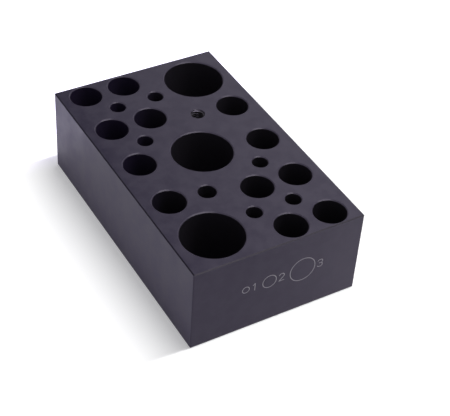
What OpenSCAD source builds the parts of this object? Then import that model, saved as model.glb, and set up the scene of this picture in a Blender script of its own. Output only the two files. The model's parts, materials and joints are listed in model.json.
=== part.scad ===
// Heat block insert for a dry bath: one machined block with wells for tubes of
// three sizes, a thermometer well and a tapped hole for a lifting rod.
// Millimetres. The origin is at the middle of the underside, +Z points up to the
// well mouths and the front face looks towards -Y.

/* [Block] */
// Width of the block, left to right
block_w = 74.5; // [71:0.5:120]
// Length of the block, front to back
block_l = 122.5; // [120:0.5:200]
// Height of the block
block_h = 38.5; // [26:0.5:80]
// Chamfer that breaks every outer edge
edge_chamfer = 0.4; // [0.1:0.1:0.5]

/* [Large wells] */
// Bore of a large well, for a 25 mm tube
large_bore = 25.3; // [18:0.1:28]
// Metal between a corner's large well and the block's side
large_side_wall = 4; // [2:0.5:6]
// Metal between a corner's large well and the block's end
large_end_wall = 3.5; // [2:0.5:6]
// Radius between a large well's wall and its flat floor
large_corner = 1.5; // [0.5:0.5:4]

/* [Medium wells] */
// Bore of a medium well, for a 12 to 13 mm tube
medium_bore = 13.5; // [8:0.1:14.5]
// Metal between the outer column of medium wells and the block's side
medium_side_wall = 4.25; // [2:0.25:7]
// Metal between the end row of medium wells and the block's end
medium_end_wall = 1; // [1:0.1:4]
// Distance between the two columns of medium wells
column_pitch = 17.5; // [15.5:0.5:20]
// Distance between neighbouring rows of medium wells
row_pitch = 25; // [18:0.5:26]

/* [Small wells] */
// Bore of a small well, for a 6 mm tube
small_bore = 6.6; // [3:0.1:10]

/* [Thermometer well] */
// Bore of the thermometer well
thermometer_bore = 7.5; // [4:0.1:10]

/* [Lifting thread] */
// Outer diameter of the lifting thread
thread_d = 6; // [4:0.5:8]
// Pitch of the lifting thread
thread_pitch = 1; // [0.5:0.25:1.5]
// Depth of the full thread below the top face
thread_depth = 14; // [8:0.5:16]
// How far the tapping drill goes past the thread, to its full width
drill_run_out = 3; // [1:0.5:5]
// Chamfer around the tapped hole's mouth
thread_chamfer = 0.2; // [0.1:0.1:0.5]

/* [All wells] */
// Metal left under the deepest point of every well
well_floor = 5; // [3:0.5:12]
// Chamfer around every well mouth
mouth_chamfer = 0.4; // [0.1:0.1:0.5]

/* [Hidden] */
$fn = 48;
drill_angle = 118; // included angle of a twist drill's point
over = 1; // how far a cutter stands clear of the top face

// Centre of the back left medium well, and of the back right large well
first_medium = [
    medium_side_wall + medium_bore / 2 - block_w / 2,
    block_l / 2 - medium_end_wall - medium_bore / 2
];
corner_large = [
    block_w / 2 - large_side_wall - large_bore / 2,
    block_l / 2 - large_end_wall - large_bore / 2
];

// Wells in the outer and the inner column of medium wells
column_counts = [4, 2];
medium_cells = [
    for (column = [0 : len(column_counts) - 1], row = [0 : column_counts[column] - 1])
        [column, row]
];
// The small wells stand midway between the medium wells
small_cells = [[0.5, 0.5], [1.5, 0.5], [0.5, 1.5]];

// Place of a [column, row] on the grid that starts at the back left medium well
function on_grid(cell) = first_medium + [cell[0] * column_pitch, -cell[1] * row_pitch];

// Height of a drill point of a given diameter
function point_height(d) = d / 2 / tan(drill_angle / 2);

// A rectangle with its four corners cut off
module chamfered_rectangle(w, l, c) {
    x = w / 2;
    y = l / 2;
    polygon([
        [x - c, -y], [x, c - y], [x, y - c], [x - c, y],
        [c - x, y], [-x, y - c], [-x, c - y], [c - x, -y]
    ]);
}

// The plain block with every edge broken
module blank() {
    intersection() {
        linear_extrude(block_h)
            chamfered_rectangle(block_w, block_l, edge_chamfer);
        translate([0, block_l / 2, block_h / 2])
            rotate([90, 0, 0])
                linear_extrude(block_l)
                    chamfered_rectangle(block_w, block_h, edge_chamfer);
        translate([-block_w / 2, 0, block_h / 2])
            rotate([90, 0, 90])
                linear_extrude(block_w)
                    chamfered_rectangle(block_l, block_h, edge_chamfer);
    }
}

// The chamfer of a round mouth in the top face
module mouth(d, chamfer = mouth_chamfer) {
    translate([0, 0, block_h - chamfer])
        cylinder(d1 = d, d2 = d + 2 * (chamfer + over), h = chamfer + over);
}

// The straight part of a cutter, from a level up through the top face, with its mouth chamfer
module shank(d, from, chamfer = mouth_chamfer) {
    translate([0, 0, from])
        cylinder(d = d, h = block_h + over - from);
    mouth(d, chamfer);
}

// A twist drill from its point up to a given level, as one turned profile
module drill(d, point_level, end_level) {
    translate([0, 0, point_level])
        rotate_extrude()
            polygon([
                [0, 0], [d / 2, point_height(d)],
                [d / 2, end_level - point_level], [0, end_level - point_level]
            ]);
}

// A flat-floored well with a rounded corner, for a flat-bottomed tube
module large_well() {
    radius = large_bore / 2;
    wall_end = block_h + over - well_floor;
    translate([0, 0, well_floor])
        rotate_extrude()
            union() {
                square([radius - large_corner, wall_end]);
                translate([0, large_corner])
                    square([radius, wall_end - large_corner]);
                translate([radius - large_corner, large_corner])
                    circle(r = large_corner);
            }
    mouth(large_bore);
}

// A well with a ball end, for a round-bottomed tube
module medium_well() {
    shank(medium_bore, well_floor + medium_bore / 2);
    translate([0, 0, well_floor + medium_bore / 2])
        sphere(d = medium_bore);
}

// A well left with its drill point
module drilled_well(bore) {
    drill(bore, well_floor, block_h + over);
    mouth(bore);
}

// The lifting thread's hole: the thread's outer diameter, then the tapping drill below it
module tapped_hole() {
    core_d = thread_d - thread_pitch;
    core_end = block_h - thread_depth - drill_run_out;
    shank(thread_d, block_h - thread_depth, thread_chamfer);
    drill(core_d, core_end - point_height(core_d), block_h);
}

// A cutter at a place, and its twin half a turn round the block's middle
module place_pair(at) {
    for (turn = [0, 180])
        rotate([0, 0, turn])
            translate(at)
                children();
}

module heat_block() {
    color([0.26, 0.25, 0.29])
        difference() {
            blank();
            large_well();
            place_pair(corner_large)
                large_well();
            for (cell = medium_cells)
                place_pair(on_grid(cell))
                    medium_well();
            for (cell = small_cells)
                place_pair(on_grid(cell))
                    drilled_well(small_bore);
            translate(-corner_large / 2)
                drilled_well(thermometer_bore);
            translate(corner_large / 2)
                tapped_hole();
        }
}

heat_block();
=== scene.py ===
import json
import math

import bmesh
import bpy
import numpy as np
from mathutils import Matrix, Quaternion, Vector


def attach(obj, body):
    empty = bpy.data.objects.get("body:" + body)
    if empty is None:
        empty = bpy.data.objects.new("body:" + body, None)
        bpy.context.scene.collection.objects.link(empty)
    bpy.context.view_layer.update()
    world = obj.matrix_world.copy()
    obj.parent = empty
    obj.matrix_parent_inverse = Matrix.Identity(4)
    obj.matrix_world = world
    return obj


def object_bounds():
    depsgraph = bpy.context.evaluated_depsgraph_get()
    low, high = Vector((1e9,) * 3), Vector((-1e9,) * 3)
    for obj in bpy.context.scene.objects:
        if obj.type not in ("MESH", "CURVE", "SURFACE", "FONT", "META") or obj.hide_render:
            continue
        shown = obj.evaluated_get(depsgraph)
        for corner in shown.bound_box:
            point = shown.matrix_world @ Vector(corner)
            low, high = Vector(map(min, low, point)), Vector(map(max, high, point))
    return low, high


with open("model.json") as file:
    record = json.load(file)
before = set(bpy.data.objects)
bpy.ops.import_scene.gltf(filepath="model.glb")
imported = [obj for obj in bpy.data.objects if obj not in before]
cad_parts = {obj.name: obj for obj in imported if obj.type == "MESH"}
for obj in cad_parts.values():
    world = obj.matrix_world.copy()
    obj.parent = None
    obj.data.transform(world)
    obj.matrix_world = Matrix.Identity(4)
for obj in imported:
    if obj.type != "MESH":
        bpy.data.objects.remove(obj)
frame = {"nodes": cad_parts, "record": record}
cadLow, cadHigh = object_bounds()
mm = 0.001
blockSize = [side / mm for side in cadHigh - cadLow]  # width, length and height in mm
mounts = {mount["name"]: mount for mount in frame["record"]["mounts"]}
wells = [m for m in mounts.values() if m["kind"] in ("bore", "threaded_hole")]
print("frame: block of %.1f x %.1f x %.1f mm with %d wells" % (*blockSize, len(wells)))


# gives each input of a node a value, or a link where the value is a socket
def fillInputs(tree, node, inputs):
    for slot, value in inputs.items():
        if isinstance(value, bpy.types.NodeSocket):
            tree.links.new(value, node.inputs[slot])
        else:
            node.inputs[slot].default_value = value


# makes a node, sets its attributes and fills its inputs
def addNode(tree, kind, inputs=None, **settings):
    node = tree.nodes.new("ShaderNode" + kind)
    for name, value in settings.items():
        setattr(node, name, value)
    fillInputs(tree, node, inputs or {})
    return node


def calc(tree, operation, *values, clamp=False):
    node = addNode(tree, "Math", dict(enumerate(values)), operation=operation, use_clamp=clamp)
    return node.outputs[0]


def vectorCalc(tree, operation, *values):
    node = addNode(tree, "VectorMath", dict(enumerate(values)), operation=operation)
    return node.outputs["Value" if operation in ("LENGTH", "DOT_PRODUCT", "DISTANCE") else "Vector"]


def scaled(tree, vector, factors):
    return vectorCalc(tree, "MULTIPLY", vector, factors)


# a value stretched from one range to another, kept inside the second
def ranged(tree, value, low, high, toLow=0.0, toHigh=1.0, smooth=True):
    kind = "SMOOTHSTEP" if smooth else "LINEAR"
    slots = {0: value, 1: low, 2: high, 3: toLow, 4: toHigh}
    return addNode(tree, "MapRange", slots, interpolation_type=kind).outputs[0]


# the mix node's colours are its inputs 6 and 7 and its output 2
def mixColour(tree, share, first, second):
    node = addNode(tree, "Mix", data_type="RGBA")
    fillInputs(tree, node, {0: share, 6: first, 7: second})
    return node.outputs[2]


def scaledColour(colour, factor):
    return tuple(part * factor for part in colour[:3]) + (1,)


# a shader node group: inputs and outputs are lists of (name, kind, starting value)
def newGroup(name, inputs, outputs):
    group = bpy.data.node_groups.new(name, "ShaderNodeTree")
    for slot, kind, value in inputs:
        socket = group.interface.new_socket(slot, in_out="INPUT", socket_type="NodeSocket" + kind)
        if value is not None:
            socket.default_value = value
    for slot, kind in outputs:
        group.interface.new_socket(slot, in_out="OUTPUT", socket_type="NodeSocket" + kind)
    return group, group.nodes.new("NodeGroupInput").outputs, group.nodes.new("NodeGroupOutput").inputs


def placeGroup(tree, group, inputs):
    node = addNode(tree, "Group", node_tree=group)
    fillInputs(tree, node, inputs)
    return node.outputs


def newMaterial(name):
    material = bpy.data.materials.new(name)
    material.use_nodes = True
    tree = material.node_tree
    tree.nodes.clear()
    shader = addNode(tree, "BsdfPrincipled")
    addNode(tree, "OutputMaterial", {"Surface": shader.outputs[0]})
    return material, tree, shader


# effects that more than one material uses
grain = {
    "grainSize": 0.22,  # mm, the blasted surface under the anodising
    "grainDetail": 2.0,
    "mottleSize": 5.0,  # mm, cloudy patches in the dye
    "mottleDetail": 4.0,
    "mottleRoughness": 0.6,
    "bandSize": 7.0,  # mm, soft bands that the side mill left, upright on the sides
    "bandStretch": 16,  # how many times taller than wide a band is
    "bandDetail": 2.0,
}


# cloudy patches, upright bands and a fine blasted grain; takes a place and three sizes in mm
def makeBlastedFilm():
    group, given, result = newGroup(
        "blastedFilm",
        [("Place", "Vector", None), ("Grain Size", "Float", grain["grainSize"]),
         ("Mottle Size", "Float", grain["mottleSize"]), ("Band Size", "Float", grain["bandSize"])],
        [("Mottle", "Float"), ("Bands", "Float"), ("Height", "Float")],
    )
    place = given["Place"]
    perMottle = calc(group, "DIVIDE", 1.0, given["Mottle Size"])
    perGrain = calc(group, "DIVIDE", 1.0, given["Grain Size"])
    perBand = calc(group, "DIVIDE", 1.0, given["Band Size"])
    cloud = addNode(group, "TexNoise", {
        "Vector": place, "Scale": perMottle,
        "Detail": grain["mottleDetail"], "Roughness": grain["mottleRoughness"],
    })
    speck = addNode(group, "TexNoise", {
        "Vector": place, "Scale": perGrain, "Detail": grain["grainDetail"],
    })
    upright = scaled(group, place, (1.0, 1.0, 1 / grain["bandStretch"]))
    band = addNode(group, "TexNoise", {
        "Vector": upright, "Scale": perBand, "Detail": grain["bandDetail"],
    })
    group.links.new(cloud.outputs[0], result["Mottle"])
    group.links.new(band.outputs[0], result["Bands"])
    group.links.new(speck.outputs[0], result["Height"])
    return group


# how far a place lies outside the nearest bore's wall, and how far it is from the nearest bore's axis:
# wall = min(|p - c| - r), axis = min(|p - c|) over all wells, in mm and seen from above
def makeWellMap():
    group, given, result = newGroup(
        "wellMap", [("Place", "Vector", None)], [("Wall", "Float"), ("Axis", "Float")]
    )
    flat = scaled(group, given["Place"], (1.0, 1.0, 0.0))
    wall = axis = None
    for well in wells:
        x, y = well["pos_m"][0] / mm, well["pos_m"][1] / mm
        away = vectorCalc(group, "DISTANCE", flat, (x, y, 0.0))
        outside = calc(group, "SUBTRACT", away, well["dims"]["r_mm"])
        wall = outside if wall is None else calc(group, "MINIMUM", wall, outside)
        axis = away if axis is None else calc(group, "MINIMUM", axis, away)
    group.links.new(wall, result["Wall"])
    group.links.new(axis, result["Axis"])
    return group


# how far a straight stroke from Start along Along lies from a place
def makeStroke():
    group, given, result = newGroup(
        "stroke",
        [("Place", "Vector", None), ("Start", "Vector", None), ("Along", "Vector", None)],
        [("Distance", "Float")],
    )
    fromStart = vectorCalc(group, "SUBTRACT", given["Place"], given["Start"])
    reach = vectorCalc(group, "DOT_PRODUCT", fromStart, given["Along"])
    whole = vectorCalc(group, "DOT_PRODUCT", given["Along"], given["Along"])
    share = calc(group, "DIVIDE", reach, whole, clamp=True)
    foot = addNode(group, "VectorMath", {0: given["Along"], "Scale": share}, operation="SCALE").outputs[0]
    group.links.new(vectorCalc(group, "DISTANCE", fromStart, foot), result["Distance"])
    return group


blastedFilm = makeBlastedFilm()
wellMap = makeWellMap()
stroke = makeStroke()
print("node groups made")

# key to the well sizes: three rings, small to large, each with a plain number, engraved on the front face
sizeKey = {
    "rings": [(-15.0, 1.5), (-4.6, 3.0), (10.2, 5.6)],  # middle across the face and radius, mm
    "middle": (0.7, 21.0),  # of the whole key, across the face and up it, mm
    "numberHeight": 3.6,
    "numberGap": 1.3,  # between a ring and its number
    "stroke": 0.30,  # width of the engraved line
    "softEdge": 0.04,  # either side of the line's edge
}
# single-stroke numbers as runs of points, in a field 0.6 wide and 1 high
numberRuns = {
    1: [[(0.1, 0.78), (0.32, 1.0), (0.32, 0.0)]],
    2: [[(0.0, 0.8), (0.14, 1.0), (0.46, 1.0), (0.6, 0.82), (0.6, 0.62), (0.0, 0.0), (0.62, 0.0)]],
    3: [
        [(0.0, 0.86), (0.14, 1.0), (0.46, 1.0), (0.6, 0.86), (0.6, 0.66), (0.46, 0.53), (0.2, 0.53)],
        [(0.46, 0.53), (0.6, 0.4), (0.6, 0.14), (0.46, 0.0), (0.14, 0.0), (0.0, 0.14)],
    ],
}


# distance in mm from the engraved lines, worked out on the front face
def sizeKeyDistance(tree, place):
    flat = scaled(tree, place, (1.0, 0.0, 1.0))
    midX, midZ = sizeKey["middle"]
    nearest = None
    for number, (ringX, radius) in enumerate(sizeKey["rings"], 1):
        centre = (midX + ringX, 0.0, midZ)
        away = vectorCalc(tree, "DISTANCE", flat, centre)
        lines = [calc(tree, "ABSOLUTE", calc(tree, "SUBTRACT", away, radius))]  # the ring itself
        size = sizeKey["numberHeight"]
        left, low = centre[0] + radius + sizeKey["numberGap"], midZ - size / 2
        for run in numberRuns[number]:
            points = [Vector((left + x * size, 0.0, low + z * size)) for x, z in run]
            for start, end in zip(points, points[1:]):
                line = placeGroup(tree, stroke, {"Place": flat, "Start": start, "Along": end - start})
                lines.append(line["Distance"])
        for line in lines:
            nearest = line if nearest is None else calc(tree, "MINIMUM", nearest, line)
    return nearest


# finish of the block, inside and out, with painted light and shade in some of its colours
anodised = {
    "deep": (0.0128, 0.0098, 0.0240, 1),  # dye at its darkest
    "pale": (0.0503, 0.0449, 0.0642, 1),  # dye at its thinnest
    "cloudSpan": (0.35, 0.65),  # part of the cloud noise that goes from dark to pale
    "bandSpan": (0.30, 0.70),  # the same for the bands
    "bandShare": 0.35,  # share of the bands in the patches
    "paintedLightDrift": 0.65,  # painted light and shade: share of the tone that pales from the left side to the right
    "driftTurn": 0.12,  # how far that paling also leans towards the front
    "topCurve": 0.43,  # power of that drift on the top face
    "endCurve": 2.6,  # the same on the front and back faces
    "litEndDeep": (0.0270, 0.0222, 0.0405, 1),  # painted light: lighter copies of the two dye tones for the front and back faces
    "litEndPale": (0.0670, 0.0590, 0.0850, 1),
    "side": (0.040, 0.034, 0.061, 1),  # a little more violet on the milled sides, set apart from the top's tones: partly dye, partly painted light and reflection
    "sideSpread": (0.85, 1.15),  # from its darkest to its palest
    "bore": (0.021, 0.0185, 0.025, 1),  # bored walls and floors, darker than the outer faces: partly painted shade in the wells
    "violetBore": (0.021, 0.0153, 0.038, 1),  # and turns violet towards the back left corner
    "boreTurn": 0.5,  # how far that change leans towards the back
    "boreSpan": (-35.0, -10.0),  # mm, where it goes from violet to neutral
    "edge": (0.012, 0.010, 0.017, 1),  # painted shade: the broken edges round the top and the underside get a film darker than any face, for the dark lines along them
    "cornerEdge": (0.036, 0.031, 0.050, 1),  # film on the four upright ones
    "mouth": (0.060, 0.0525, 0.0775, 1),  # film on the chamfers of the well mouths, paler than the faces: partly a painted highlight on the rims
    "engraved": (0.40, 0.38, 0.42, 1),  # bare metal in the engraved lines
    "tint": (0.80, 0.70, 1.0, 1),  # of what the film reflects when seen squarely
    "ior": 1.30,
    "roughness": (0.40, 0.50),  # in the dark and in the pale patches
    "edgeRoughness": 0.28,
    "boreRoughness": 0.42,
    "engravedRoughness": 0.70,
    "relief": 0.5,  # strength of the grain and the tool rings
    "grainDepth": 0.010 * mm,  # depth of both, in metres
    "ringPitch": 0.5,  # mm between the tool rings inside the wells
    "edgeWidth": 0.41,  # mm below an outer face that its broken edge reaches
    "squareFacing": 0.9,  # a face leaning more than this is a broken edge
    "uprightFacing": 0.3,  # a broken edge that faces up less than this is an upright one
    "mouthReach": 0.6,  # mm beyond a bore's wall within which a chamfer is a mouth's
    "wallReach": 0.05,  # mm beyond a bore's radius, or below an end face, that still counts as it
}


def makeAnodised():
    material, tree, shader = newMaterial("blackAnodised")
    where = addNode(tree, "TexCoord").outputs["Object"]
    place = scaled(tree, where, (1 / mm,) * 3)
    film = placeGroup(tree, blastedFilm, {
        "Place": place, "Grain Size": grain["grainSize"],
        "Mottle Size": grain["mottleSize"], "Band Size": grain["bandSize"],
    })
    bores = placeGroup(tree, wellMap, {"Place": place})
    x, y, z = addNode(tree, "SeparateXYZ", {0: place}).outputs
    halfW, halfL, height = blockSize[0] / 2, blockSize[1] / 2, blockSize[2]

    # depth below the nearest outer face, then the broken edges: shallow, and facing between two axes
    sideDepth = calc(tree, "SUBTRACT", halfW, calc(tree, "ABSOLUTE", x))
    endDepth = calc(tree, "SUBTRACT", halfL, calc(tree, "ABSOLUTE", y))
    topDepth = calc(tree, "MINIMUM", z, calc(tree, "SUBTRACT", height, z))
    depth = calc(tree, "MINIMUM", calc(tree, "MINIMUM", sideDepth, endDepth), topDepth)
    facing = addNode(tree, "NewGeometry").outputs["True Normal"]
    across, along, up = addNode(tree, "SeparateXYZ", {0: vectorCalc(tree, "ABSOLUTE", facing)}).outputs
    square = calc(tree, "MAXIMUM", calc(tree, "MAXIMUM", across, along), up)
    slanted = calc(tree, "LESS_THAN", square, anodised["squareFacing"])
    shallow = calc(tree, "LESS_THAN", depth, anodised["edgeWidth"])
    edge = calc(tree, "MULTIPLY", slanted, shallow)
    # inside a bore: no further from its axis than its wall, and below every outer face
    inside = calc(tree, "MULTIPLY", calc(tree, "LESS_THAN", bores["Wall"], anodised["wallReach"]),
                  calc(tree, "GREATER_THAN", depth, anodised["edgeWidth"]))

    cloud = ranged(tree, film["Mottle"], *anodised["cloudSpan"])
    bands = ranged(tree, film["Bands"], *anodised["bandSpan"])
    patchy = ranged(tree, anodised["bandShare"], 0.0, 1.0, cloud, bands, smooth=False)
    # painted light and shade: the tone pales from the left side to the right, mixed with the real mottle
    # and bands
    lean = calc(tree, "SUBTRACT", x, calc(tree, "MULTIPLY", y, anodised["driftTurn"]))
    onEnd = calc(tree, "GREATER_THAN", along, anodised["squareFacing"])
    curve = ranged(tree, onEnd, 0.0, 1.0, anodised["topCurve"], anodised["endCurve"], smooth=False)
    paintedLightDrift = calc(tree, "POWER", ranged(tree, lean, -halfW, halfW, smooth=False), curve)
    mottleAndPaintedLight = ranged(tree, anodised["paintedLightDrift"], 0.0, 1.0, patchy, paintedLightDrift, smooth=False)
    colour = mixColour(tree, mottleAndPaintedLight, anodised["deep"], anodised["pale"])
    # painted light: the front and back faces take lighter copies of the dye tones
    litEndColour = mixColour(tree, mottleAndPaintedLight, anodised["litEndDeep"], anodised["litEndPale"])
    colour = mixColour(tree, onEnd, colour, litEndColour)
    # partly painted light and reflection: the sides take their own colour
    onSide = calc(tree, "GREATER_THAN", across, anodised["squareFacing"])
    darkest, palest = [scaledColour(anodised["side"], factor) for factor in anodised["sideSpread"]]
    colour = mixColour(tree, onSide, colour, mixColour(tree, patchy, darkest, palest))
    atMouth = calc(tree, "LESS_THAN", bores["Wall"], anodised["mouthReach"])
    upright = calc(tree, "LESS_THAN", up, anodised["uprightFacing"])
    # painted shade: a dark film on the broken edges round the top and the underside, paler on the upright
    # ones
    edgeColour = mixColour(tree, upright, anodised["edge"], anodised["cornerEdge"])
    # partly a painted highlight: the mouth chamfers take a paler film
    edgeColour = mixColour(tree, atMouth, edgeColour, anodised["mouth"])
    colour = mixColour(tree, edge, colour, edgeColour)
    # partly painted shade: the wells take the darker bore tones
    corner = calc(tree, "SUBTRACT", x, calc(tree, "MULTIPLY", y, anodised["boreTurn"]))
    neutral = ranged(tree, corner, *anodised["boreSpan"])
    boreColour = mixColour(tree, neutral, anodised["violetBore"], anodised["bore"])
    colour = mixColour(tree, inside, colour, boreColour)

    # engraved lines on the front face only
    halfStroke, soft = sizeKey["stroke"] / 2, sizeKey["softEdge"]
    line = ranged(tree, sizeKeyDistance(tree, place), halfStroke + soft, halfStroke - soft)
    front = calc(tree, "LESS_THAN", y, anodised["wallReach"] - halfL)
    engraved = calc(tree, "MULTIPLY", line, front)
    colour = mixColour(tree, engraved, colour, anodised["engraved"])

    low, high = anodised["roughness"]
    rough = ranged(tree, patchy, 0.0, 1.0, low, high, smooth=False)
    rough = ranged(tree, edge, 0.0, 1.0, rough, anodised["edgeRoughness"], smooth=False)
    rough = ranged(tree, inside, 0.0, 1.0, rough, anodised["boreRoughness"], smooth=False)
    rough = ranged(tree, engraved, 0.0, 1.0, rough, anodised["engravedRoughness"], smooth=False)

    # blasted grain outside, tool rings round the walls and over the floors inside
    turns = calc(tree, "ADD", z, bores["Axis"])
    wave = calc(tree, "SINE", calc(tree, "MULTIPLY", turns, 2 * math.pi / anodised["ringPitch"]))
    rings = calc(tree, "MULTIPLY", calc(tree, "ADD", calc(tree, "MULTIPLY", wave, 0.5), 0.5), inside)
    grainHeight = calc(tree, "MULTIPLY", film["Height"], calc(tree, "SUBTRACT", 1.0, inside))
    relief = calc(tree, "ADD", grainHeight, rings)
    bump = addNode(tree, "Bump", {
        "Height": relief, "Strength": anodised["relief"], "Distance": anodised["grainDepth"],
    })

    tree.links.new(colour, shader.inputs["Base Color"])
    tree.links.new(rough, shader.inputs["Roughness"])
    tree.links.new(bump.outputs[0], shader.inputs["Normal"])
    shader.inputs["IOR"].default_value = anodised["ior"]
    shader.inputs["Specular Tint"].default_value = anodised["tint"]
    return material


block = frame["nodes"]["heat_block"]
anodisedMaterial = makeAnodised()
for slot in block.material_slots:
    slot.material = anodisedMaterial
print("block: anodised material with %d nodes" % len(anodisedMaterial.node_tree.nodes))

# right-hand thread in the lifting hole
thread = {
    "pitch": 1.0,  # mm
    "stepsPerTurn": 72,
    "crestFlat": 0.3,  # mm, left by the tapping drill
    "rootFlat": 0.125,  # mm between two ridges at the outer diameter
    "bite": 0.04,  # mm that the ridge's foot sits in the wall
    "startTurn": 0.41,  # place of its upper end round the hole, in turns from the right side
    "fade": 0.25,  # turns over which the ridge rises at each end
    "sharpAngle": 25,  # degrees between two faces that makes their edge sharp
    "leastRise": 0.02,  # share of the ridge's height left at its very ends
    "film": ((0.026, 0.023, 0.030, 1), (0.068, 0.063, 0.073, 1)),  # its darkest and palest dye; the palest is paler than the block's, partly a painted highlight on the ridge
    "grainSize": 0.15,  # mm
    "mottleSize": 1.5,  # mm
    "mottleSpan": (0.30, 0.70),  # part of the cloud noise that goes from smooth to rough
    "roughness": (0.28, 0.40),
    "relief": 0.3,
    "grainDepth": 0.005 * mm,
}


def ridgeMesh():
    hole = mounts["lifting_thread"]
    outer, length = hole["dims"]["r_mm"], hole["dims"]["length_mm"]
    x, y = hole["pos_m"][0] / mm, hole["pos_m"][1] / mm
    high = hole["pos_m"][2] / mm + length / 2
    pitch = thread["pitch"]
    turns = (length - pitch) / pitch
    t = np.linspace(0, turns, int(turns * thread["stepsPerTurn"]) + 1)[:, None]
    rise = np.clip(np.minimum(t, turns - t) / thread["fade"], thread["leastRise"], 1)
    rise = rise * rise * (3 - 2 * rise)  # eased in and out
    foot, crest = (pitch - thread["rootFlat"]) / 2, thread["crestFlat"] / 2
    # profile from foot over the crest to foot: how far in from the wall, and how far up or down
    inward = np.array([-thread["bite"], 0, pitch / 2, pitch / 2, 0, -thread["bite"]])
    upward = np.array([foot, foot, crest, -crest, -foot, -foot])
    # point(t, k) lies at radius outer - rise inward_k round the axis, turned clockwise by t turns, and at
    # height high - pitch (t + 1/2) + rise upward_k
    radius = outer - np.where(inward > 0, inward * rise, inward)
    angle = 2 * np.pi * (t - thread["startTurn"])
    z = high - pitch * (t + 0.5) + upward * rise
    points = np.stack([x + radius * np.cos(angle), y - radius * np.sin(angle), z], axis=2) * mm
    rows, columns = radius.shape
    index = np.arange(rows * columns).reshape(rows, columns)
    after = np.roll(index, -1, axis=1)
    quads = np.stack([index[:-1], index[1:], after[1:], after[:-1]], axis=2).reshape(-1, 4)
    mesh = bpy.data.meshes.new("liftingThread")
    ends = [index[0].tolist(), index[-1][::-1].tolist()]
    mesh.from_pydata(points.reshape(-1, 3), [], quads.tolist() + ends)
    shape = bmesh.new()
    shape.from_mesh(mesh)
    bmesh.ops.recalc_face_normals(shape, faces=shape.faces)
    shape.to_mesh(mesh)
    shape.free()
    mesh.shade_smooth()
    mesh.set_sharp_from_angle(angle=math.radians(thread["sharpAngle"]))
    return mesh


def makeThreadMaterial():
    material, tree, shader = newMaterial("anodisedThread")
    where = addNode(tree, "TexCoord").outputs["Object"]
    place = scaled(tree, where, (1 / mm,) * 3)
    film = placeGroup(tree, blastedFilm, {
        "Place": place, "Grain Size": thread["grainSize"], "Mottle Size": thread["mottleSize"],
    })
    # partly a painted highlight: the paler dye lifts the ridge as if lit
    colour = mixColour(tree, film["Mottle"], *thread["film"])
    rough = ranged(tree, film["Mottle"], *thread["mottleSpan"], *thread["roughness"])
    bump = addNode(tree, "Bump", {
        "Height": film["Height"], "Strength": thread["relief"], "Distance": thread["grainDepth"],
    })
    tree.links.new(colour, shader.inputs["Base Color"])
    tree.links.new(rough, shader.inputs["Roughness"])
    tree.links.new(bump.outputs[0], shader.inputs["Normal"])
    shader.inputs["IOR"].default_value = anodised["ior"]
    shader.inputs["Specular Tint"].default_value = anodised["tint"]
    return material


liftingThread = bpy.data.objects.new("liftingThread", ridgeMesh())
bpy.context.scene.collection.objects.link(liftingThread)
liftingThread.data.materials.append(makeThreadMaterial())
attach(liftingThread, "root")
print("lifting thread: %d faces" % len(liftingThread.data.polygons))

# floor, sky and lamps
studio = {
    "floorRadius": 2.0,  # metres
    "floorCorners": 96,
    "floorColour": (0.80, 0.80, 0.80, 1),
    "floorGlow": (0.32, 0.32, 0.33, 1),  # seen by the camera only
    "floorGlint": (0.33, 0.31, 0.385, 1),  # the same in reflections
    "farGlow": (1.02, 0.95, 1.30, 1),  # both behind the block and all round it far away
    "farStart": (0.057, 0.086),  # how far back the floor turns to its far glow, metres
    "rimStart": (0.25, 0.50),  # how far from the middle it does so all round, metres
    "skyBright": 1.25,  # in the patch at the bright side
    "skyDim": 0.28,  # everywhere else; the camera itself sees white
    "brightSide": (0.70, 0.60, 0.39),
    "turnover": (0.86, 0.96),  # where the sky turns from dim to bright, as the cosine from the bright side
}
# place, point aimed at, width and depth of each lamp in metres, and its power in watts
lamps = {
    # from overhead to 26 degrees on the right, so that the shadow fades out to the left only
    "stripLamp": {
        "place": (0.245, -0.090, 1.0), "aim": (0.245, -0.090, 0.0), "size": (0.49, 0.04),
        "power": 8.2, "colour": (1, 1, 1), "glintOnly": False,
    },
    # in front, for the glint on the far rim of every well; it shows in reflections only
    "rimLamp": {
        "place": (0.10, -0.40, 0.46), "aim": (0.0, 0.0, 0.038), "size": (0.60, 0.30),
        "power": 3.0, "colour": (1.0, 1.06, 0.84), "glintOnly": True,
    },
}


def makeFloor():
    angle = np.linspace(0, 2 * np.pi, studio["floorCorners"], endpoint=False)
    rim = np.stack([np.cos(angle), np.sin(angle), 0 * angle], axis=1) * studio["floorRadius"]
    mesh = bpy.data.meshes.new("studioFloor")
    mesh.from_pydata(rim, [], [list(range(len(rim)))])
    floor = bpy.data.objects.new("studioFloor", mesh)
    bpy.context.scene.collection.objects.link(floor)
    material = bpy.data.materials.new("paleFloor")
    material.use_nodes = True
    tree = material.node_tree
    tree.nodes.clear()
    paint = addNode(tree, "BsdfDiffuse", {"Color": studio["floorColour"]})
    ray = addNode(tree, "LightPath").outputs
    seen = calc(tree, "MAXIMUM", calc(tree, "MAXIMUM", ray["Is Camera Ray"], ray["Is Glossy Ray"]),
                ray["Is Transmission Ray"])
    place = addNode(tree, "TexCoord").outputs["Object"]
    behind = ranged(tree, addNode(tree, "SeparateXYZ", {0: place}).outputs[1], *studio["farStart"])
    away = ranged(tree, vectorCalc(tree, "LENGTH", place), *studio["rimStart"])
    far = calc(tree, "MAXIMUM", behind, away)
    nearGlow = mixColour(tree, ray["Is Camera Ray"], studio["floorGlint"], studio["floorGlow"])
    glowColour = mixColour(tree, far, nearGlow, studio["farGlow"])
    glow = addNode(tree, "Emission", {"Color": glowColour, "Strength": seen})
    both = addNode(tree, "AddShader", {0: paint.outputs[0], 1: glow.outputs[0]})
    addNode(tree, "OutputMaterial", {"Surface": both.outputs[0]})
    floor.data.materials.append(material)


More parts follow.
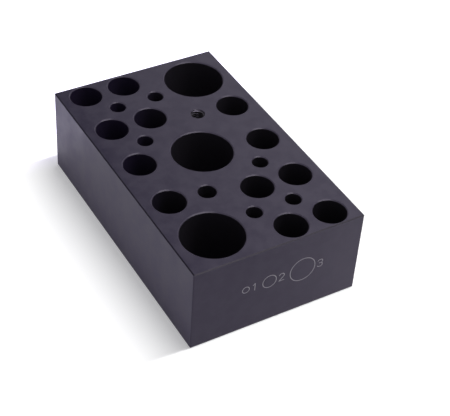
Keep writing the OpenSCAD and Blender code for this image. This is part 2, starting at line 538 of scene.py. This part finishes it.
def makeSky():
    world = bpy.data.worlds.new("studioSky")
    bpy.context.scene.world = world
    world.use_nodes = True
    tree = world.node_tree
    tree.nodes.clear()
    towards = addNode(tree, "TexCoord").outputs["Generated"]
    bright = Vector(studio["brightSide"]).normalized()
    level = vectorCalc(tree, "DOT_PRODUCT", towards, bright)
    strength = ranged(tree, level, *studio["turnover"], studio["skyDim"], studio["skyBright"])
    seen = addNode(tree, "LightPath").outputs["Is Camera Ray"]
    white = ranged(tree, seen, 0.0, 1.0, strength, 1.0, smooth=False)
    sky = addNode(tree, "Background", {"Color": (1, 1, 1, 1), "Strength": white})
    addNode(tree, "OutputWorld", {"Surface": sky.outputs[0]})


# a rectangular lamp whose width runs level
def makeLamp(name, place, aim, size, power, colour, glintOnly):
    data = bpy.data.lights.new(name, "AREA")
    data.shape = "RECTANGLE"
    data.size, data.size_y = size
    data.energy = power
    data.color = colour
    lamp = bpy.data.objects.new(name, data)
    bpy.context.scene.collection.objects.link(lamp)
    lamp.location = place
    lamp.rotation_mode = "QUATERNION"
    lamp.rotation_quaternion = (Vector(aim) - Vector(place)).to_track_quat("-Z", "Y")
    lamp.visible_diffuse = not glintOnly


makeFloor()
makeSky()
for name, lamp in lamps.items():
    makeLamp(name, **lamp)
print("studio ready")

# camera
lookAt = {
    "place": (-0.20119, -0.33647, 0.35158),  # metres
    "azimuth": -32.446,  # degrees from +Y, to the right when negative
    "elevation": 41.150,  # degrees that it looks down
    "roll": 4.170,  # degrees
    "lens": 99.94,  # mm
    "sensor": 36,  # mm
}


def makeCamera():
    azimuth, elevation = math.radians(lookAt["azimuth"]), math.radians(lookAt["elevation"])
    ahead = Vector((-math.sin(azimuth) * math.cos(elevation), math.cos(azimuth) * math.cos(elevation),
                    -math.sin(elevation)))
    data = bpy.data.cameras.new("viewCamera")
    data.sensor_width = lookAt["sensor"]
    data.lens = lookAt["lens"]
    camera = bpy.data.objects.new("viewCamera", data)
    bpy.context.scene.collection.objects.link(camera)
    camera.location = lookAt["place"]
    camera.rotation_mode = "QUATERNION"
    turned = Quaternion((0, 0, 1), math.radians(lookAt["roll"]))
    camera.rotation_quaternion = ahead.to_track_quat("-Z", "Y") @ turned
    bpy.context.scene.camera = camera


makeCamera()
bpy.context.scene.view_settings.view_transform = "Standard"
